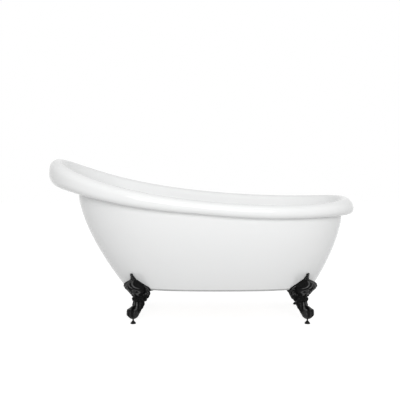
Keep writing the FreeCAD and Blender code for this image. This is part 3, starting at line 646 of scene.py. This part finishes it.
def plate_carving(side, rise):
    """Height of the plate's carving, 0 to 1: leaf, ribs under the top edge, volute, lattice, flutes."""
    edge_angle = math.radians(41)
    under_edge = (0.011 - side) * math.sin(edge_angle) + (0.057 - rise) * math.cos(edge_angle)
    to_volute = np.hypot(side - 0.032, rise - 0.004)
    volute_turn = np.arctan2(rise - 0.004, side - 0.032) / (2 * np.pi)
    leaf_half_width = 0.0150 * np.sqrt(np.clip(1 - ((rise - 0.024) / 0.064) ** 2, 0, 1))
    in_leaf = fade(leaf_half_width - side, 0.0, 1.0, 0.002)
    in_volute = fade(to_volute, -1.0, 0.0165, 0.002) * (1 - in_leaf)
    in_lattice = fade(side, 0.049, 1.0, 0.002) * fade(rise, -1.0, 0.012, 0.002) * (1 - in_volute)
    in_ribs = fade(under_edge, -0.01, 0.024, 0.002) * (1 - in_leaf) * (1 - in_volute) * (1 - in_lattice)
    in_fan = fade(rise, -1.0, -0.004, 0.003) * (1 - in_leaf) * (1 - in_volute) * (1 - in_lattice)
    leaf = 0.25 + 0.75 * ridges(rise - 1.2 * side, 0.0115) * fade(side, 0.0022, 1.0, 0.001)
    leaf = np.maximum(leaf, fade(side, -1.0, 0.0030, 0.0014))
    volute = ridges(to_volute + volute_turn * 0.0108, 0.0108)
    lattice = np.maximum(ridges(side + rise, 0.0095), ridges(side - rise, 0.0095)) ** 3
    fan = ridges(np.arctan2(side, rise + 0.075), math.radians(13.0))
    return (in_leaf * leaf + in_volute * volute + in_lattice * lattice
            + in_ribs * ridges(under_edge - 0.004, 0.0105) + in_fan * fan)


def carving_at(local, facing):
    """Height of the carving over the whole foot, 0 to 1, and how much of it shows at each point."""
    out, side, rise = local[:, 0], np.abs(local[:, 1]), local[:, 2] - skirt_foot_height
    on_plate = fade(rise, -0.024, 1.0, 0.003) * np.clip(facing[:, 0] * 3, 0, 1)
    leg_turn = np.arctan2(local[:, 1], out + 0.037)
    on_leg = fade(local[:, 2], 0.070, 0.112, 0.006) * np.clip(1.6 - np.abs(leg_turn), 0, 1)
    from_ball = np.linalg.norm(local - (0, 0, ball_height), axis=1)
    on_ball = fade(from_ball, -1.0, ball_radius + 0.0012, 0.0008) * fade(local[:, 2], -1.0, 0.078, 0.006)
    hammer = np.array([noise_field.voronoi(Vector(point) * 230.0)[0][0] if share > 0 else 0.5
                       for point, share in zip(local, on_ball)])
    height = (on_plate * plate_carving(side, rise) + on_leg * ridges(leg_turn, math.radians(30))
              + on_ball * np.clip(0.2 + hammer * 1.3, 0, 1))
    return height, np.clip(on_plate + on_leg + on_ball * 0.55, 0, 1)


def foot_casting(end):
    """The solid's shape with its lobes, made one skin and carved."""
    place = foot_place(end)
    shape = bmesh.new()
    shape.from_mesh(nodes["foot_" + end + "_near"].data)
    bmesh.ops.remove_doubles(shape, verts=shape.verts, dist=weld_distance)
    to_foot = place.inverted()
    leaf = [to_foot @ vertex.co for vertex in shape.verts if vertex.co.z > skirt_foot_height + 0.070]
    leaf_tip = sum(leaf, Vector()) / len(leaf)
    for spot, radius in foot_lobes(leaf_tip):
        bmesh.ops.create_icosphere(shape, subdivisions=3, radius=radius,
                                   matrix=place @ Matrix.Translation(spot))
    piece = mesh_piece("claw_foot_" + end + "_near", [], [])
    shape.to_mesh(piece.data)
    shape.free()
    with_modifiers(piece, ("REMESH", {"mode": "VOXEL", "voxel_size": carving_grain}),
                   ("SMOOTH", {"factor": 0.5, "iterations": 5}))
    mesh = piece.data
    count = len(mesh.vertices)
    points = np.empty(count * 3)
    mesh.vertices.foreach_get("co", points)
    points = points.reshape(-1, 3)
    normals = np.array([vertex.normal[:] for vertex in mesh.vertices])
    axes = np.array(place.to_3x3())
    height, share = carving_at((points - np.array(place.translation)) @ axes, normals @ axes)
    points += normals * ((height - 0.5) * share * carving_depth)[:, None]
    mesh.vertices.foreach_set("co", points.ravel())
    # The relief attribute carries the carving's height, which the enamel turns into a painted highlight on
    # ridges and painted shade in hollows.
    relief = mesh.attributes.new("relief", "FLOAT", "POINT")
    relief.data.foreach_set("value", height * share + 0.25 * (1 - share))
    for face in mesh.polygons:
        face.use_smooth = True
    mesh.update()
    return piece


def far_twin(piece, name):
    """The same piece mirrored to the far side of the tub."""
    mesh = piece.data.copy()
    mesh.transform(Matrix.Diagonal((1, -1, 1, 1)))
    mesh.flip_normals()
    return shown(name, mesh)


iron = enamelled_iron()
for end in foot_turn_deg:
    near = foot_casting(end)
    far = far_twin(near, "claw_foot_" + end + "_far")
    dress(near, iron, "tub", "black_casting", "foot_" + end + "_near")
    dress(far, iron, "tub", "black_casting", "foot_" + end + "_far")


# ---- Foot bolts ------------------------------------------------------------------------------
# Two zinc-plated M8 bolts a foot, with washers, up through the skirt's flange into tee nuts.

def metal_finish(name, dark, pale, roughness, spread, scale):
    """Metal whose colour and polish change slightly over the piece."""
    material, tree, shader, place = finish_of(name, {"Metallic": 1.0})
    patches = noise(tree, place, scale, 4.0)
    scratches = noise(tree, place, scale * 12, 2.0)
    feed(tree, shader,
         Base_Color=tint(tree, patches, dark, pale),
         Roughness=roughness + patches * spread,
         Normal=bumped(tree, scratches, 0.00004))
    return material


def refinish(material, *names):
    """Gives solids whose shape is already right their finish."""
    for name in names:
        for held in nodes[name].material_slots:
            held.material = material


zinc = metal_finish("zinc_plating", (0.50, 0.52, 0.55), (0.70, 0.71, 0.70), 0.28, 0.2, 90.0)
refinish(zinc, "foot_bolts", "foot_washers", "foot_tee_nuts")


# ---- Levellers -------------------------------------------------------------------------------
# Under each ball, a blackened M8 spindle screws in and out. It turns in the socket of a domed
# black pad with a rubber glide pressed under it.

spindle_low, spindle_high = (corner.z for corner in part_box("leveller_spindle_head_near"))
thread_sizes = {"Round Steps": 25, "Up Steps": 301, "Radius": 0.004, "Depth": 0.0006, "Pitch": 0.00125,
                "Low": spindle_low, "High": spindle_high, "X": 0.0, "Y": 0.0}


def thread_tree():
    """A grid rolled into a bar whose radius follows a screw thread."""
    tree, size = geometry_tree("thread_form", thread_sizes)
    grid = node(tree, "GeometryNodeMeshGrid", {},
                {"Vertices X": size["Round Steps"], "Vertices Y": size["Up Steps"]})
    spread = node(tree, "ShaderNodeSeparateXYZ", {}, {0: Signal(tree, grid.socket.node.outputs["UV Map"])})
    up_share = Signal(tree, spread.socket.node.outputs["Y"])
    height = size["Low"] + (size["High"] - size["Low"]) * up_share
    flank = abs((height / size["Pitch"] - spread).math("FRACT") - 0.5) * 2.0
    radius = size["Radius"] - size["Depth"] * flank
    angle = spread * (2 * math.pi)
    position = node(tree, "ShaderNodeCombineXYZ", {},
                    [size["X"] + radius * angle.math("COSINE"),
                     size["Y"] + radius * angle.math("SINE"), height])
    bent = node(tree, "GeometryNodeSetPosition", {}, {"Geometry": grid, "Position": position})
    return tree, node(tree, "GeometryNodeMergeByDistance", {},
                      {"Geometry": bent, "Distance": weld_distance})


def pad_finish():
    """Black moulded nylon with the fine sparkle of the mould."""
    material, tree, shader, place = finish_of(
        "black_moulded_nylon", {"IOR": 1.53, "Specular IOR Level": 0.15})
    mould = noise(tree, place, 500.0, 3.0)
    feed(tree, shader,
         Base_Color=tint(tree, mould, (0.003, 0.003, 0.003), (0.009, 0.009, 0.009)),
         Roughness=0.42 + mould * 0.15,
         Normal=bumped(tree, mould, 0.0001))
    return material


def rubber_finish():
    """Black rubber, dull, with a faint bloom."""
    material, tree, shader, place = finish_of("black_rubber", {"IOR": 1.52})
    bloom = noise(tree, place, 60.0, 4.0)
    feed(tree, shader,
         Base_Color=tint(tree, bloom, (0.010, 0.010, 0.010), (0.028, 0.028, 0.029)),
         Roughness=0.7 + bloom * 0.2,
         Normal=bumped(tree, bloom, 0.0001))
    return material


pad_nylon = pad_finish()
rubber = rubber_finish()
blackened = metal_finish("blackened_steel", (0.015, 0.015, 0.016), (0.045, 0.045, 0.046), 0.34, 0.2, 120.0)
for corner in ("head_near", "head_far", "tail_near", "tail_far"):
    low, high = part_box("leveller_spindle_" + corner)
    thread_sizes.update({"X": (low.x + high.x) / 2, "Y": (low.y + high.y) / 2})
    tree, form = thread_tree()
    spindle = grown("threaded_spindle_" + corner, tree, form, thread_sizes, blackened)
    shape = bmesh.new()
    shape.from_mesh(spindle.data)
    bmesh.ops.holes_fill(shape, edges=[edge for edge in shape.edges if edge.is_boundary])
    shape.to_mesh(spindle.data)
    shape.free()
    closed_up(spindle, 70)
    dress(spindle, blackened, "spindle_" + corner, "zinc_steel", "leveller_spindle_" + corner)
    refinish(pad_nylon, "leveller_pad_" + corner)
    refinish(rubber, "leveller_glide_" + corner)


# ---- Base board and corner blocks ------------------------------------------------------------
# A birch board bonded under the basin floor spreads the load to four beech blocks, which stand
# on the skirt's flange over the feet and take the foot bolts.

def timber_finish(name, dark, pale):
    """Planed timber with its grain along the tub."""
    material, tree, shader, place = finish_of(name, {"IOR": 1.45})
    stretched = node(tree, "ShaderNodeMapping", {}, {"Vector": place, "Scale": (2.0, 45.0, 45.0)})
    grain = noise(tree, stretched, 3.0, 6.0, 0.6)
    pores = noise(tree, stretched, 22.0, 3.0)
    feed(tree, shader,
         Base_Color=tint(tree, grain * 0.8 + pores * 0.2, dark, pale),
         Roughness=0.55 + grain * 0.2,
         Normal=bumped(tree, pores, 0.0002))
    return material


refinish(timber_finish("birch_board", (0.46, 0.32, 0.18), (0.70, 0.55, 0.36)), "base_board")
refinish(timber_finish("beech_block", (0.40, 0.24, 0.13), (0.60, 0.42, 0.26)),
         "corner_block_head_near", "corner_block_head_far", "corner_block_tail_near",
         "corner_block_tail_far")


# ---- Waste -----------------------------------------------------------------------------------
# Chromed flange in the floor's dish, clamped from below by a brass nut on a rubber seal; a plastic
# shoe with the chromed tailpiece and its brass slip nut; and a sprung push stopper on its stem.

def plastic_finish(name, dark, pale):
    """White moulded waste fitting, slightly waxy."""
    material, tree, shader, place = finish_of(name, {"IOR": 1.5})
    flow = noise(tree, place, 35.0, 3.0)
    feed(tree, shader,
         Base_Color=tint(tree, flow, dark, pale),
         Roughness=0.35 + flow * 0.15,
         Normal=bumped(tree, flow, 0.0001))
    return material


chrome = metal_finish("chrome_plating", (0.72, 0.74, 0.76), (0.82, 0.83, 0.84), 0.04, 0.05, 30.0)
brass = metal_finish("brass", (0.56, 0.38, 0.16), (0.72, 0.52, 0.25), 0.22, 0.18, 60.0)
stainless = metal_finish("stainless_steel", (0.52, 0.52, 0.53), (0.66, 0.66, 0.66), 0.16, 0.12, 70.0)
fitting_plastic = plastic_finish("white_fitting_plastic", (0.72, 0.72, 0.70), (0.80, 0.80, 0.78))
refinish(chrome, "waste_flange", "tailpiece", "stopper_cap")
refinish(brass, "waste_nut", "slip_nut")
refinish(stainless, "stopper_stem", "stopper_spring")
refinish(rubber, "waste_seal", "stopper_seal")
refinish(fitting_plastic, "waste_shoe")


# ---- Overflow --------------------------------------------------------------------------------
# Chromed plate with three inlet slots, screwed through the tail wall into a cup behind it, from
# which a pipe runs down between the shells to the waste.

refinish(chrome, "overflow_plate", "overflow_screw")
refinish(rubber, "overflow_seal")
refinish(fitting_plastic, "overflow_cup", "overflow_pipe", "overflow_pipe_nut")


# ---- Studio ----------------------------------------------------------------------------------
# Plain white floor, broad soft lamps in front and above, and the camera of the photograph.

def seen_share(tree):
    """1 where the picture or a reflection shows the surface, 0 where it only gives light."""
    rays = tree.nodes.new("ShaderNodeLightPath")
    straight, mirrored, through = (Signal(tree, rays.outputs["Is " + kind + " Ray"])
                                   for kind in ("Camera", "Glossy", "Transmission"))
    return straight.math("MAXIMUM", mirrored).math("MAXIMUM", through)


def studio_white():
    """Floor that shows nearly white by itself, with its own shading and the shadow on top."""
    material, tree, shader, place = finish_of("studio_floor_white", {"Emission Strength": 0.8, "IOR": 1.3})
    cloud = noise(tree, place, 1.5)
    feed(tree, shader,
         Base_Color=tint(tree, cloud, (0.49, 0.49, 0.49), (0.51, 0.51, 0.51)),
         Emission_Color=tint(tree, seen_share(tree), (0.0, 0.0, 0.0), (1.0, 1.0, 1.0)),
         Roughness=0.88 + cloud * 0.05)
    return material


floor = mesh_piece("studio_floor", [(-6, -6, 0), (6, -6, 0), (6, 6, 0), (-6, 6, 0)], [(0, 1, 2, 3)])
floor.data.materials.append(studio_white())

world = bpy.data.worlds.new("studio")
scene.world = world
world.use_nodes = True
sky = world.node_tree
fill_strength = 0.50
strength = seen_share(sky) * (1.0 - fill_strength) + fill_strength
sky.nodes["Background"].inputs["Color"].default_value = (1.0, 1.0, 1.0, 1.0)
sky.links.new(strength.socket, sky.nodes["Background"].inputs["Strength"])


def softbox(name, place, aim, width, height, power):
    """Rectangular lamp that faces a point."""
    lamp = bpy.data.lights.new(name, "AREA")
    lamp.shape = "RECTANGLE"
    lamp.size = width
    lamp.size_y = height
    lamp.energy = power
    holder = shown(name, lamp)
    holder.location = place
    holder.rotation_euler = (Vector(aim) - Vector(place)).to_track_quat("-Z", "Y").to_euler()


softbox("front_softbox", (0.15, -3.6, 1.60), (0, 0, 0.4), 3.2, 1.6, 74.0)
softbox("top_softbox", (0.3, -1.4, 3.2), (0, 0, 0.4), 2.4, 1.6, 6.0)

camera = shown("camera", bpy.data.cameras.new("camera"))
camera_dip = 0.0884
camera.data.sensor_width = 36.0
camera.data.lens = 52.94
camera.location = (-0.0094, -3.0, 0.858)
camera.rotation_euler = (math.pi / 2 - camera_dip, 0.0, 0.0)
scene.camera = camera
scene.view_settings.view_transform = "Standard"
